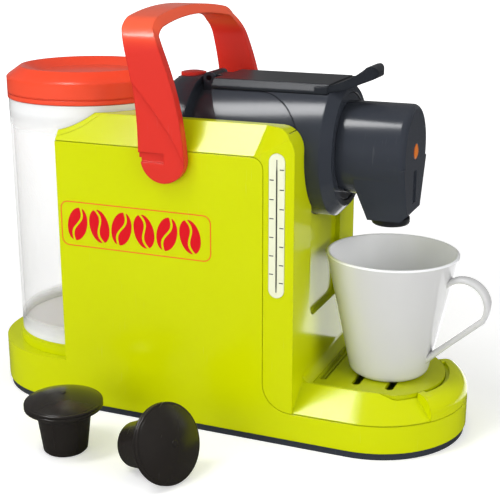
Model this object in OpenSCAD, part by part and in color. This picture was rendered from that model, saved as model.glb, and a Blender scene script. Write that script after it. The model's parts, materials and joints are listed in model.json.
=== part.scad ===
// Toy coffee maker: lime housing, black brewing head, clear water tank, red carry handle,
// a mug on the drip grille and two loose capsules. Millimetres, +X to the spout, +Z up,
// origin on the underside of the bottom plate, below the middle of the base.

/* [Base] */
// Length of the base
base_l = 280; // [270:1:300]
// Width of the base and of the body
base_w = 101.2; // [100:0.2:108]
// Wall of the lime mouldings
wall = 2.2; // [1.8:0.1:2.6]
// Height of the black bottom edge
plate_h = 4; // [3.6:0.1:5]
// Thickness of the bottom plate
plate_t = 2.4; // [2:0.1:2.8]
// Height of the seam round the front skirt
skirt_h = 19; // [18:0.5:20]
// Height of the rear part of the base
base_h = 28.2; // [27:0.2:29]
// Height of the drip tray
tray_h = 31; // [30:0.5:32]
// Half width of the flat top of the drip tray
tray_half = 34.9; // [33:0.1:36]
// Gap that shows as a seam between two mouldings
seam = 0.3; // [0.2:0.05:0.5]

/* [Body] */
// Rear edge of the body
body_rear_x = -77; // [-79:0.5:-75]
// Upright seam between side panel and column
seam_x = 42.6; // [40:0.2:44]
// Front face of the column
column_x = 59.4; // [58:0.2:62]
// Top of the body
body_h = 168.5; // [167:0.5:170]
// Height of the top bevel
bevel_h = 14.5; // [13:0.5:16]
// Land between the top bevel and the head
bevel_land = 2.7; // [2.2:0.1:3.2]
// Rounding at the column's top corner
corner_r = 12; // [9:0.5:13]
// Depth of the recess in the column's face
recess_d = 2.7; // [2:0.1:3.2]
// Half width of the recess in the column's face
recess_half = 24.6; // [22:0.2:27]
// Lower end of the recess
recess_z = 64; // [58:1:70]

/* [Brewing head] */
// Depth of the head's axis below the top of the body
head_drop = 15.5; // [14:0.5:17]
// Radius of the barrel
head_r = 36.3; // [35:0.1:37]
// Shell of the head
head_wall = 2.2; // [1.8:0.1:2.6]
// Start of the chamfer at the barrel's front
head_front_x = 66.8; // [65:0.2:68]
// Length of that chamfer
head_chamfer = 4.9; // [4:0.1:6]
// Rear end of the head
head_rear_x = -31; // [-32:0.2:-30]
// Radius of the rear cap
cap_r = 34; // [33:0.1:35]
// Radius of the neck between cap and barrel
neck_r = 28; // [26.5:0.1:29]
// Radius of the spout
spout_r = 24.2; // [23:0.1:25]
// Front face of the spout
spout_x = 107; // [105:0.2:110]
// Drop from the head's axis to the outlet's lower end
outlet_drop = 39.3; // [37:0.1:40.5]
// Radius of the outlet
outlet_r = 10; // [9:0.1:10.4]

/* [Lever and button] */
// Place of the lever's hinge along the head
hinge_x = -5; // [-5.5:0.1:-4.5]
// Height of the lever's hinge above the head's axis
hinge_rise = 33; // [32.6:0.1:33.4]
// Top of the closed lever above the head's axis
lever_rise = 34.6; // [34.2:0.1:35.4]
// Half width of the lever
lever_half = 22.3; // [21.8:0.1:22.8]
// Front end of the lever's plate
lever_front_x = 66; // [62:0.5:67]
// Radius of the hinge pin
pin_r = 1.5; // [1.2:0.1:1.8]
// Radius of the button
button_r = 6.9; // [6:0.1:7]
// Place of the button along the head
button_x = -18.2; // [-18.6:0.1:-17.8]
// Travel of the button
button_travel = 1.8; // [1.4:0.1:2]

/* [Handle] */
// Place of the handle's pivot
pivot_x = -10.5; // [-12:0.5:-8]
// Depth of the handle's pivot below the top of the side panels
pivot_drop = 4; // [3.8:0.1:6]
// Radius of the leg's lower end
leg_r = 12.6; // [11:0.1:13]
// Thickness of a leg
leg_t = 5; // [4:0.1:6]
// Top of the handle above the body
handle_rise = 54.9; // [52:0.1:58]
// Thickness of the grip
grip_t = 5; // [4.4:0.1:8]
// Radius of the pivot stud
stud_r = 3; // [2.6:0.1:3.2]

/* [Tank] */
// Centre of the tank
tank_x = -84.4; // [-85:0.1:-84]
// Outer radius of the tank
tank_r = 45.4; // [44.5:0.1:45.6]
// Wall of the tank
tank_wall = 1.6; // [1.3:0.1:2]
// Height of the collar under the tank
collar_h = 35; // [34:0.2:36]
// Upper rim of the tank above the body
tank_rise = 3.1; // [1:0.1:4.5]
// Radius of the lid
lid_r = 45.9; // [45.7:0.1:46.2]
// Height of the lid's band
lid_band = 12.4; // [11:0.2:14]
// Radius of the valve under the tank
valve_r = 4; // [3.5:0.1:4.5]

/* [Mug and capsules] */
// Place of the mug on the grille
mug_x = 97; // [96:0.5:99]
// Radius of the mug's rim
mug_rim = 35.1; // [33:0.1:36]
// Radius of the mug's foot
mug_foot = 20.8; // [19:0.1:23]
// Height of the mug
mug_h = 67.6; // [62:0.2:69]
// Wall of the mug
mug_wall = 1.7; // [1.4:0.1:2]
// Radius of a capsule's flange
pod_r = 20.5; // [19:0.1:20.6]
// Radius of a capsule's foot
pod_foot = 11.6; // [10:0.1:12.5]
// Height of a capsule up to its flange
pod_h = 24; // [22:0.5:26]

/* [Hidden] */
$fn = 96;

lime = [0.76, 0.84, 0.0];
black = [0.09, 0.1, 0.12];
red = [0.9, 0.13, 0.1];
steel = [0.7, 0.71, 0.73];
eps = 0.01;
big = 400;

// Base and body
half_w = base_w / 2;
side_h = body_h - bevel_h;
bevel_in = half_w - head_r - bevel_land;
end_x = base_l / 2 - half_w;
foot_r = 15;
seam_r = 6;
rim_in = 1;
rim_t = wall + 0.2;
bevel_angle = atan2(bevel_in, body_h - side_h);
bevel_end_x = column_x - 21.8;
bevel_turn = 26;
pocket_r = lid_r + 1;
deck_half = half_w - bevel_in - 2;
inner_front_x = column_x - recess_d - wall;
tray_r = tray_half + 5.1;
tray_cx = end_x - 1.4;
fit = 0.3;
grille_half = tray_half - 2.2;
grille_r = tray_r - 0.4;
grille_t = 2.4;
seat_z = tray_h - grille_t - seam;
cup_d = 6;
cup_floor = 1.2;
well_z = seat_z - cup_d - fit;
slot_w = 4.5;
grille_rim = 5.7;
slot_xs = [for (i = [0 : 2]) column_x + 8.4 + 18.2 * i];
slot_halves = [for (x = slot_xs) min(grille_half, sqrt(pow(grille_r, 2) - pow(x - tray_cx, 2))) - grille_rim];
gauge_x = (seam_x + column_x) / 2 - 0.8;
gauge_r = 4.2;
gauge_top = side_h + 3;
gauge_bottom = 82.3;

// Screws
screw_r = 1.25;
screw_head_r = 2.9;
screw_head_t = 1.4;
head_sink = 0.2;
boss_r = 3.6;
plate_screw_xs = [-end_x - 5, -20, end_x - 11.4];
plate_screw_y = half_w - wall - 3.4;
side_posts = [[-26, 52], [-26, side_h - 50], [30, 64], [28, side_h - 50]];
post_r = 4;
post_web = 6;

// Battery compartment
cell_r = 7.1;
cell_l = 50;
cell_gap = 0.4;
cell_pitch = 2 * (cell_r + cell_gap);
box_cx = -42;
box_l = cell_l + 8;
box_w = 3 * cell_pitch + 3;
box_t = 1.5;
cell_z = plate_t + 0.3 + cell_r;
box_top = cell_z + cell_r + cell_gap + box_t;
door_l = box_l + 6;
door_w = box_w - 2;
door_cx = box_cx + 4;
door_screw_x = box_cx + box_l / 2 + box_t + 2.5;

// Head
head_z = body_h - head_drop;
barrel_rear_x = 8;
barrel_front_x = head_front_x - 10.4;
hood_proud = 0.5;
hood_r = head_r + hood_proud;
hood_arc = 28;
hood_line_z = head_z + 29.4;
hood_rear_x = barrel_front_x - hood_arc;
ring_x = head_front_x + head_chamfer;
ring_r = head_r - head_chamfer;
ring_t = 2;
cap_front_x = -10;
cap_round = 12;
slot_front_x = 46;
slot_rear_x = 12;
slot_half_y = lever_half - 1.3;
flat_rise = 30.8;
flat_z = head_z + flat_rise;
cradle = 0.35;
outlet_x = spout_x - 12;
outlet_z = head_z - outlet_drop;
snout_z = head_z - 35.5;
snout_cut = 4;

// Lever
hinge_z = head_z + hinge_rise;
lever_z = head_z + lever_rise;
lever_t = 2.2;
plunger_l = 22;
plunger_w = 26;
plunger_drop = 4;
lever_rear_x = 2.4;
lever_lift = 0.25;
knuckle_r = 3.2;
knuckle_half = 6;
ear_t = 3;
tab_l = 21.4;
tab_half = 10;
tab_roll = 3.4;

// Handle
pivot_z = side_h - pivot_drop;
handle_h = body_h + handle_rise;
leg_gap = 0.4;
leg_in = half_w + leg_gap;
leg_out = leg_in + leg_t;
stud_fit = 0.06;
stud_root = 0.5;
stud_l = wall + 6.5;
stud_end = leg_in + stud_root - stud_l;
leg_front_r = 172.4;
leg_rear_r = 196.4;
leg_step = 1.3;
shoulder_r = 14;
crown_r = 260;
inlay_d = 0.8;
notch_d = 1.4;

// Tank
tank_h = body_h + tank_rise;
lid_z = tank_h + 0.3;
lid_top = lid_z + lid_band;
tank_taper = 0.3;
valve_drop = 3;
plug_gap = 0.9;
plug_r = tank_r - tank_wall - plug_gap;
well_r = valve_r + 6;
well_d = 4.2;

// Pump and tubes
tube_r = 2.6;
tube_bore = 1.6;
pump_x = -3;
pump_y = 20;
pump_z = 44;
motor_r = 10;
motor_l = 25;
pump_r = 13;
pump_w = 12;
tube_y = 36;
tube_z = 13;
riser_x = inner_front_x - tube_r - 0.4;
riser_z = 88;
speaker_x = 34;
board_x = -3;
board_y = 34;
board_z = 64;
board_w = 25;
board_h = 42;
board_t = 1.6;

// Mug and capsules
grip_turn = -10;
mug_grip = [41, 45.5];
mug_grip_r = 14.6;
mug_strap = 3.2;
mug_round = 5;
pod_flange_t = 3.6;
pod_dome = 4.4;
pod_place = [-50.2, -96.4];
pod_lying_place = [-8.3, -97.8];
pod_lying_turn = -20;

// ---------- shared shapes ----------

// Plan of the base, drawn in from its outline
module plan(in = 0) {
  square([2 * end_x, 2 * (half_w - in)], center = true);
  for (s = [-1, 1]) translate([s * end_x, 0]) circle(r = half_w - in);
}

// A prism of the plan between two heights
module plan_prism(z0, z1, in = 0) {
  translate([0, 0, z0]) linear_extrude(z1 - z0) plan(in);
}

// A side view, drawn in X and Z, swept across Y
module across(w) {
  rotate([90, 0, 0]) linear_extrude(w, center = true) children();
}

// A front view, drawn in Y and Z, swept along X
module along(x0, x1) {
  translate([x0, 0, 0]) rotate([90, 0, 90]) linear_extrude(x1 - x0) children();
}

// A round bar along X on the head's axis
module head_bar(x0, x1, r) {
  translate([x0, 0, head_z]) rotate([0, 90, 0]) cylinder(h = x1 - x0, r = r);
}

// A profile of X over radius, turned about the head's axis
module head_turned() {
  translate([0, 0, head_z]) rotate([0, 90, 0]) rotate_extrude() children();
}

// A rectangle with four round corners
module round_rect(l, w, r) {
  square([l - 2 * r, w], center = true);
  square([l, w - 2 * r], center = true);
  for (x = [-1, 1], y = [-1, 1]) translate([x * (l / 2 - r), y * (w / 2 - r)]) circle(r = r);
}

// A slot outline with two round ends along Y
module slot2d(w, half) {
  square([w, 2 * half - w], center = true);
  for (s = [-1, 1]) translate([0, s * (half - w / 2)]) circle(r = w / 2);
}

// A straight round bar between two points
module bar(a, b, r) {
  d = b - a;
  translate(a) rotate([0, acos(d[2] / norm(d)), atan2(d[1], d[0])]) cylinder(h = norm(d), r = r);
}

// A bent round bar through points, with ball corners
module pipe(points, r) {
  for (i = [0 : len(points) - 2]) bar(points[i], points[i + 1], r);
  for (i = [1 : len(points) - 2]) translate(points[i]) sphere(r = r);
}

// A hose: a bent tube that is open at both ends
module hose(points, r, bore) {
  difference() {
    pipe(points, r);
    pipe(points, bore);
  }
}

// ---------- outlines of the lime mouldings ----------

// Side view of the side panel with the base skirt; g moves its edge outwards
module panel_profile(g = 0) {
  difference() {
    union() {
      translate([-base_l, plate_h - g]) square([2 * base_l, skirt_h - plate_h + 2 * g]);
      translate([-base_l, plate_h - g]) square([base_l + seam_x + g, base_h - plate_h + 2 * g]);
      translate([body_rear_x, plate_h]) square([seam_x - body_rear_x + g, side_h - plate_h + g]);
      translate([seam_x, skirt_h]) square(foot_r);
    }
    translate([seam_x + foot_r, skirt_h + foot_r]) circle(r = foot_r - g);
    translate([seam_x - seam_r, side_h - seam_r]) difference() {
      square(2 * seam_r);
      circle(r = seam_r + g);
    }
  }
}

// Side view of body and tray as one outline
module body_profile() {
  translate([body_rear_x, skirt_h]) square([column_x - body_rear_x - corner_r, body_h - skirt_h]);
  translate([body_rear_x, skirt_h]) square([column_x - body_rear_x, body_h - skirt_h - corner_r]);
  translate([column_x - corner_r, body_h - corner_r]) circle(r = corner_r);
}

// All that lies outside a sloping plane through the front end of one bevel, turned in plan
module bevel_plane(s, turn, in) {
  translate([bevel_end_x, s * half_w, side_h]) rotate([0, 0, s * turn]) rotate([s * bevel_angle, 0, 0])
    translate([-big / 2, s > 0 ? -in : in - big, -big / 2]) cube([big, big, big]);
}

// The two bevels along the body's top, moved in by a distance, each with a sloping front end
module bevels(in = 0) {
  for (s = [-1, 1]) intersection() {
    bevel_plane(s, 0, in);
    bevel_plane(s, bevel_turn, in);
  }
}

// Half front view of the tray with its sloping shoulders
module tray_section(in = 0) {
  polygon([[-half_w + in, 0], [half_w - in, 0], [half_w - in, skirt_h],
           [tray_half - in, tray_h - in], [-tray_half + in, tray_h - in], [-half_w + in, skirt_h]]);
}

// Tray block: sloping shoulders, a conical nose and the raised lip round its front
module tray_block(in = 0, lip = true) {
  along(seam_x, end_x) tray_section(in);
  translate([end_x, 0, 0]) rotate_extrude() intersection() {
    tray_section(in);
    square(big);
  }
  if (lip) translate([tray_cx, 0, 0]) rotate([0, 0, -38]) rotate_extrude(angle = 76) lip_section(in);
}

// Section of the front lip, a flat top that rolls over to the skirt
module lip_section(in = 0) {
  top = tray_h - in;
  out = half_w - in + end_x - tray_cx - 0.2;
  roll = 9;
  square([out - roll, top]);
  square([out, top - roll]);
  translate([out - roll, top - roll]) circle(r = roll);
}

// The pocket in the body's rear that the tank stands in
module tank_pocket(out = 0, z0 = 0) {
  translate([tank_x, 0, z0]) cylinder(h = big, r = pocket_r + out);
}

// Plan of the curved guard that lines the pocket between the side panels
module guard_plan() {
  difference() {
    intersection() {
      translate([tank_x, 0]) circle(r = pocket_r + wall);
      translate([body_rear_x, -half_w + wall]) square([big, base_w - 2 * wall]);
    }
    translate([tank_x, 0]) circle(r = pocket_r);
  }
}

// Plan of the flat deck between the pocket and the head
module deck_plan() {
  difference() {
    translate([body_rear_x, -deck_half]) square([head_rear_x - 1 - body_rear_x, 2 * deck_half]);
    translate([tank_x, 0]) circle(r = pocket_r + wall);
  }
}

// Plan of the drip grille, straight sides and a round front
module grille_plan(out = 0) {
  intersection() {
    translate([tray_cx, 0]) circle(r = grille_r + out);
    translate([column_x + 5.4 - out, -grille_half - out]) square([big, 2 * (grille_half + out)]);
  }
}

// Recess in the column's face, with round lower corners
module face_recess() {
  r = 7;
  translate([column_x - recess_d, 0, 0]) rotate([90, 0, 90]) linear_extrude(big) {
    translate([-recess_half, recess_z + r]) square([2 * recess_half, head_z - recess_z]);
    translate([-recess_half + r, recess_z]) square([2 * (recess_half - r), r + 1]);
    for (s = [-1, 1]) translate([s * (recess_half - r), recess_z + r]) circle(r = r);
  }
}

// ---------- base ----------

module bottom_plate() {
  color(black) difference() {
    union() {
      difference() {
        plan_prism(0, plate_h, rim_in);
        plan_prism(plate_t, plate_h + 1, rim_in + rim_t);
      }
      difference() {
        plan_prism(eps, plate_h + 3, wall + fit);
        plan_prism(-1, big, wall + fit + 1.4);
      }
    }
    translate([door_cx, 0, 0]) cube([door_l + 2 * fit, door_w + 2 * fit, 3 * plate_t], center = true);
    for (x = plate_screw_xs, s = [-1, 1]) translate([x, s * plate_screw_y, 0]) {
      translate([0, 0, -1]) cylinder(h = big, r = screw_r + 0.3);
      translate([0, 0, -1]) cylinder(h = 1 + head_sink + screw_head_t, r = screw_head_r + 0.3);
      translate([0, 0, plate_t]) cylinder(h = big, r = boss_r + fit);
    }
    // sound slots under the speaker
    for (i = [-2 : 2]) translate([speaker_x + 5 * i, 0, -1]) linear_extrude(big) slot2d(1.6, 11 - abs(i));
  }
}

module battery_door() {
  rib_pitch = 3;
  color(black) difference() {
    translate([door_cx, 0, plate_t / 2]) cube([door_l, door_w, plate_t], center = true);
    translate([door_screw_x, 0, -1]) cylinder(h = big, r = screw_r + 0.3);
    translate([door_screw_x, 0, -1]) cylinder(h = 1 + head_sink + screw_head_t, r = screw_head_r + 0.3);
    for (i = [0 : 4]) translate([door_cx - door_l / 2 + 10 + rib_pitch * i, 0, 0])
      cube([1.2, 18, 1], center = true);
  }
}

// A slotted pan-head screw that points up from the origin
module screw(l) {
  difference() {
    union() {
      cylinder(h = screw_head_t, r1 = screw_head_r - 0.5, r2 = screw_head_r);
      cylinder(h = l, r = screw_r);
    }
    cube([0.7, 4, 1], center = true);
  }
}

module door_screw() {
  color(steel) translate([door_screw_x, 0, head_sink]) screw(5.4);
}

module plate_screws() {
  color(steel) for (x = plate_screw_xs, s = [-1, 1])
    translate([x, s * plate_screw_y, head_sink]) screw(10);
}

module battery_box() {
  lug = 4;
  color(black) difference() {
    union() {
      translate([box_cx, 0, plate_t + (box_top - plate_t) / 2])
        cube([box_l + 2 * box_t, box_w + 2 * box_t, box_top - plate_t], center = true);
      translate([box_cx, -lug, plate_t + eps]) cube([door_screw_x - box_cx + lug, 2 * lug, 5]);
    }
    difference() {
      translate([box_cx, 0, plate_t + (box_top - plate_t - box_t) / 2 - 1])
        cube([box_l, box_w, box_top - plate_t - box_t + 2], center = true);
      for (s = [-1, 1]) translate([box_cx - box_l / 2 - 1, s * cell_pitch / 2 - 0.3, box_top - box_t - 2.4])
        cube([box_l + 2, 0.6, 3]);
    }
    translate([door_screw_x, 0, 0]) cylinder(h = big, r = screw_r);
  }
}

module batteries() {
  color([0.75, 0.75, 0.76]) for (i = [-1 : 1])
    translate([box_cx - cell_l / 2, i * cell_pitch, cell_z]) rotate([0, 90, 0]) {
      cylinder(h = cell_l - 1.6, r = cell_r);
      translate([0, 0, cell_l - 1.7]) cylinder(h = 1.7, r = 2.7);
    }
}

module battery_contacts() {
  color(steel) for (i = [-1 : 1], s = [-1, 1]) {
    translate([box_cx + s * (box_l / 2 - 0.4), i * cell_pitch, cell_z]) cube([0.5, 9, 9], center = true);
    translate([box_cx + s * (box_l / 2 - 0.6), i * cell_pitch, cell_z]) rotate([0, -s * 90, 0])
      cylinder(h = box_l / 2 - cell_l / 2 - 0.8, r1 = 3.4, r2 = 1.9);
  }
}

// ---------- housing halves ----------

// Outside of the rear housing: base, skirt and body under the seam
module housing_block() {
  intersection() {
    across(big) panel_profile();
    plan_prism(0, big);
  }
}

// Inside of the rear housing
module housing_hollow() {
  plan_prism(0, base_h - wall, wall);
  intersection() {
    translate([seam_x, -half_w, 0]) cube([big, base_w, tray_h]);
    plan_prism(0, big, wall);
  }
  difference() {
    translate([body_rear_x, -half_w + wall, plate_h])
      cube([column_x - body_rear_x, base_w - 2 * wall, big]);
    tank_pocket(wall, base_h - big);
  }
}

// Posts, bosses and the pivot bearing inside one half, cut to that half
module housing_inside(s) {
  for (p = side_posts) translate([p[0], 0, p[1]]) rotate([-s * 90, 0, 0]) cylinder(h = half_w - 1, r = post_r);
  for (x = plate_screw_xs) translate([x, s * plate_screw_y, plate_t + eps])
    cylinder(h = skirt_h - plate_t - 1, r = boss_r);
  intersection() {
    translate([pivot_x, 0, pivot_z]) rotate([-s * 90, 0, 0]) translate([0, 0, stud_end + 0.2])
      cylinder(h = half_w - stud_end - 1, r = stud_r + 2.4);
    translate([-big / 2, -big / 2, 0]) cube([big, big, side_h - 0.5]);
  }
}

module housing_half(s) {
  difference() {
    union() {
      difference() {
        housing_block();
        housing_hollow();
        tank_pocket(0, base_h);
      }
      housing_inside(s);
    }
    translate([-big / 2, s > 0 ? -big : 0, -1]) cube([big, big, big]);
    for (x = plate_screw_xs) translate([x, s * plate_screw_y, -1])
      cylinder(h = 13.5, r = screw_r);
    translate([pivot_x, 0, pivot_z]) rotate([90, 0, 0]) cylinder(h = big, r = stud_r + stud_fit, center = true);
    translate([tank_x, 0, -1]) cylinder(h = big, r = tube_r + fit);
    plan_prism(-1, plate_h, 0);
  }
}

module left_housing() {
  color(lime) difference() {
    union() {
      housing_half(-1);
      // standoffs of the circuit board
      for (x = [board_x + 4, board_x + board_w - 4], z = [board_z + 4, board_z + board_h - 4])
        translate([x, -board_y - 0.05, z]) rotate([90, 0, 0]) cylinder(h = half_w - wall - board_y, r = 2.4);
    }
    for (p = side_posts) translate([p[0], eps, p[1]]) rotate([90, 0, 0]) cylinder(h = 16, r = screw_r);
  }
}

module right_housing() {
  color(lime) difference() {
    housing_half(1);
    for (p = side_posts) translate([p[0], 0, p[1]]) rotate([-90, 0, 0]) {
      translate([0, 0, -1]) cylinder(h = big, r = screw_r + 0.3);
      translate([0, 0, post_web]) cylinder(h = big, r = screw_head_r + 0.2);
    }
  }
}

// Curved wall behind the tank, held between the two halves and under the front frame
module tank_guard() {
  color(lime) intersection() {
    translate([0, 0, base_h]) linear_extrude(big) guard_plan();
    difference() {
      across(big) body_profile();
      bevels();
    }
  }
}

module top_deck() {
  color(lime) translate([0, 0, body_h - wall]) linear_extrude(wall) deck_plan();
}

module side_screws() {
  color(steel) for (p = side_posts) translate([p[0], post_web + screw_head_t + eps, p[1]])
    rotate([90, 0, 0]) screw(20);
}

// ---------- front frame: top, column and tray in one moulding ----------

module frame_outer() {
  difference() {
    intersection() {
      across(big) body_profile();
      plan_prism(0, big);
    }
    bevels();
  }
  tray_block();
  // fillet between column and tray
  difference() {
    translate([column_x - eps, -tray_half, tray_h - eps]) cube([5, 2 * tray_half, 5]);
    translate([column_x + 5, 0, tray_h + 5]) rotate([90, 0, 0]) cylinder(h = big, r = 5, center = true);
  }
}

module frame_hollow() {
  difference() {
    translate([body_rear_x - 1, -half_w + wall, 0])
      cube([inner_front_x - body_rear_x + 1, base_w - 2 * wall, body_h - wall]);
    bevels(wall);
  }
  intersection() {
    tray_block(wall, false);
    plan_prism(0, big, wall);
  }
}

module front_frame() {
  color(lime) difference() {
    frame_outer();
    difference() {
      frame_hollow();
      translate([inner_front_x, -half_w, tray_h - wall]) cube([big, base_w, big]);
      translate([0, 0, well_z - cup_floor]) linear_extrude(big) grille_plan(fit + 1.4);
    }
    across(big) panel_profile(seam);
    translate([0, 0, skirt_h - big]) linear_extrude(big) square(big, center = true);
    tank_pocket();
    linear_extrude(big) guard_plan();
    translate([0, 0, body_h - 2 * wall]) linear_extrude(big) deck_plan();
    head_bar(head_rear_x - 1, big, head_r + cradle);
    head_bar(barrel_front_x - 8.4, big, hood_r + cradle);
    face_recess();
    // seat and well of the drip grille
    translate([0, 0, seat_z]) linear_extrude(big) grille_plan(fit);
    translate([0, 0, well_z]) linear_extrude(big) grille_plan(-2.2);
    // finger groove ahead of the grille
    translate([tray_cx, 0, tray_h - 1.8]) rotate([0, 0, -32]) rotate_extrude(angle = 64)
      translate([grille_r + fit - eps, 0]) square([2, 4]);
    // seat of the water gauge
    translate([gauge_x, -half_w + 0.6, 0]) rotate([90, 0, 0]) linear_extrude(big) gauge_plan(0.1);
  }
}

// ---------- drip tray and gauge ----------

module drip_grille() {
  color(lime) difference() {
    translate([0, 0, tray_h - grille_t]) linear_extrude(grille_t) grille_plan();
    for (i = [0 : 2]) translate([slot_xs[i], 0, 0]) linear_extrude(big) slot2d(slot_w, slot_halves[i]);
  }
}

module drip_cup() {
  color(black) difference() {
    translate([0, 0, well_z + 0.05]) linear_extrude(cup_d) grille_plan(-2.2 - fit);
    translate([0, 0, well_z + 0.05 + cup_floor]) linear_extrude(cup_d) grille_plan(-2.2 - fit - 1.4);
  }
}

// Outline of the gauge in X and Z, about its own centre line
module gauge_plan(out = 0) {
  translate([-gauge_r - out, gauge_bottom + gauge_r])
    square([2 * (gauge_r + out), gauge_top - gauge_bottom - 2 * gauge_r]);
  for (z = [gauge_bottom + gauge_r, gauge_top - gauge_r]) translate([0, z]) circle(r = gauge_r + out);
}

module water_gauge() {
  color([0.93, 0.94, 0.8]) translate([gauge_x, -half_w + 0.55, 0]) rotate([90, 0, 0]) difference() {
    linear_extrude(0.8) gauge_plan();
    translate([-0.4, gauge_bottom + 5, 0.5]) cube([0.8, gauge_top - gauge_bottom - 13, 1]);
  }
}

// ---------- brewing head ----------

// Side view of what the barrel keeps behind the hood's curved edge
module barrel_side(g = 0) {
  translate([-big, head_z - big]) square([big + barrel_front_x + g, big]);
  translate([-big, head_z - big]) square([big + hood_rear_x, big + hood_line_z - head_z + g]);
  intersection() {
    translate([hood_rear_x, hood_line_z - hood_arc]) circle(r = hood_arc + g);
    translate([hood_rear_x - 1, head_z - 4]) square(big);
  }
}

// The mouth that a capsule drops through
module capsule_mouth(out = 0) {
  translate([slot_rear_x - out, -slot_half_y - out, head_z - 2])
    cube([slot_front_x - slot_rear_x + 2 * out, 2 * (slot_half_y + out), big]);
}

module head_barrel() {
  color(black) difference() {
    intersection() {
      head_bar(cap_front_x + 5, barrel_front_x, head_r);
      across(big) barrel_side();
    }
    head_bar(cap_front_x - 5, barrel_front_x - 3 * head_wall, head_r - head_wall);
    head_bar(barrel_front_x - 4 * head_wall, big, head_r - 3 * head_wall);
    capsule_mouth();
    translate([riser_x, 0, 0]) cylinder(h = head_z, r = tube_r + fit);
    translate([barrel_rear_x, 0, head_z + 18]) rotate([0, -28, 0]) translate([-big, -big / 2, -4 * head_r])
      cube([big, big, big]);
    translate([-big / 2, -big / 2, flat_z]) cube([big, big, big]);
  }
}

module head_rear_cap() {
  ears = [-knuckle_half - 0.3 - ear_t, knuckle_half + 0.3];
  color(black) difference() {
    union() {
      difference() {
        head_turned() cap_section(0);
        head_turned() cap_section(head_wall);
      }
      translate([button_x, 0, head_z + 12]) cylinder(h = cap_r - 14, r = button_r + 1.6);
      for (y = ears) translate([hinge_x, y, hinge_z]) rotate([-90, 0, 0]) {
        cylinder(h = ear_t, r = knuckle_r);
        translate([-knuckle_r, 0, 0]) cube([2 * knuckle_r, hinge_z - head_z - neck_r + 2, ear_t]);
      }
    }
    translate([button_x, 0, head_z + 16]) cylinder(h = big, r = button_r + 0.3);
    translate([button_x, 0, head_z + 13]) cylinder(h = big, r = button_r - 1.4);
    translate([hinge_x, 0, hinge_z]) rotate([90, 0, 0]) cylinder(h = big, r = pin_r, center = true);
    capsule_mouth(eps);
  }
}

// Half section of cap and neck as radius over distance along X, drawn in by a wall
module cap_section(in) {
  neck_end = slot_rear_x - 4;
  intersection() {
    union() {
      translate([0, head_rear_x + in]) square([cap_r - cap_round, cap_front_x - head_rear_x - 2 * in]);
      translate([0, head_rear_x + cap_round])
        square([cap_r - in, cap_front_x - head_rear_x - cap_round - in]);
      translate([cap_r - cap_round, head_rear_x + cap_round]) circle(r = cap_round - in);
      translate([0, head_rear_x + cap_round]) square([neck_r - in, neck_end + in - head_rear_x - cap_round]);
    }
    translate([0, -big / 2]) square([big, big]);
  }
}

module head_hood() {
  color(black) difference() {
    union() {
      head_bar(hood_rear_x, head_front_x, hood_r);
      head_turned() polygon([[0, head_front_x - eps], [hood_r, head_front_x - eps],
                             [ring_r, ring_x], [0, ring_x]]);
    }
    across(big) barrel_side(fit);
    head_bar(0, head_front_x, head_r - head_wall);
    head_bar(0, big, ring_r - 3);
    capsule_mouth(0.4);
    translate([-big / 2, -big / 2, flat_z]) cube([big, big, big]);
    head_bar(0, barrel_front_x + fit, head_r + 0.05);
  }
}

module front_ring() {
  color(black) head_turned() difference() {
    translate([spout_r - 6, ring_x - ring_t - 0.6]) square([ring_r - 3 - spout_r + 6 - 0.05, ring_t]);
    translate([ring_r - 3.6, ring_x - 1.1]) square([1.2, 2]);
  }
}

// Side view of the snout under the spout
module snout_side(in = 0) {
  polygon([[spout_x - 27 + in, head_z], [spout_x - 27 + in, head_z - 16], [spout_x - 21.4 + in, snout_z + in],
           [spout_x - snout_cut - in, snout_z + in], [spout_x - in, snout_z + snout_cut], [spout_x - in, head_z]]);
}

// Front view of the snout, tapering from the spout to the outlet
module snout_front(in = 0) {
  low = outlet_r + 1.8 - in;
  high = spout_r - 1 - in;
  foot = snout_z - 0.5;
  polygon([[-high, head_z - 6], [-low, foot], [low, foot], [high, head_z - 6], [0, head_z + 4]]);
}

// Half section of the spout as radius over distance along X
module spout_section(in) {
  edge = 3.4;
  x0 = ring_x - 0.5;
  translate([0, x0 + in]) square([spout_r - in, spout_x - edge - x0 - in]);
  translate([0, x0 + in]) square([spout_r - edge, spout_x - x0 - 2 * in]);
  translate([spout_r - edge, spout_x - edge]) circle(r = edge - in);
}

module spout_housing() {
  color(black) difference() {
    union() {
      head_turned() spout_section(0);
      intersection() {
        across(big) snout_side();
        along(0, big) snout_front();
      }
      head_bar(ring_x - 8, ring_x, spout_r - 6.1);
    }
    head_turned() spout_section(wall);
    intersection() {
      across(big) snout_side(wall);
      along(0, big) snout_front(wall);
    }
    head_bar(ring_x - 9, ring_x + 4, spout_r - 8);
    // slot and lens seat in the face
    translate([spout_x - 1, -3.2, head_z - 27]) cube([big, 6.4, 17]);
    head_bar(spout_x - 1.2, big, 4.1);
    translate([outlet_x, 0, 0]) cylinder(h = head_z, r = outlet_r - 2);
  }
}

module outlet_nozzle() {
  lip = 1.6;
  color(black) translate([outlet_x, 0, 0]) rotate_extrude() difference() {
    union() {
      translate([0, outlet_z + lip]) square([outlet_r, snout_z - 0.1 - outlet_z - lip]);
      translate([0, outlet_z]) square([outlet_r - lip, lip + 0.5]);
      translate([outlet_r - lip, outlet_z + lip]) circle(r = lip);
      translate([0, snout_z - 0.5]) square([outlet_r - 2.1, 6]);
    }
    translate([-1, 0]) square([4.5, big]);
    translate([-1, outlet_z - 1]) square([outlet_r - 2, 3]);
    translate([-big, 0]) square([big, big]);
  }
}

module spout_lens() {
  color([0.9, 0.45, 0.1]) {
    head_turned() {
      translate([0, spout_x - 1.15]) square([4, 1.05]);
      intersection() {
        translate([0, spout_x - 8]) circle(r = 9);
        translate([0, spout_x - 0.2]) square([3.6, 5]);
      }
    }
  }
}

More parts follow.
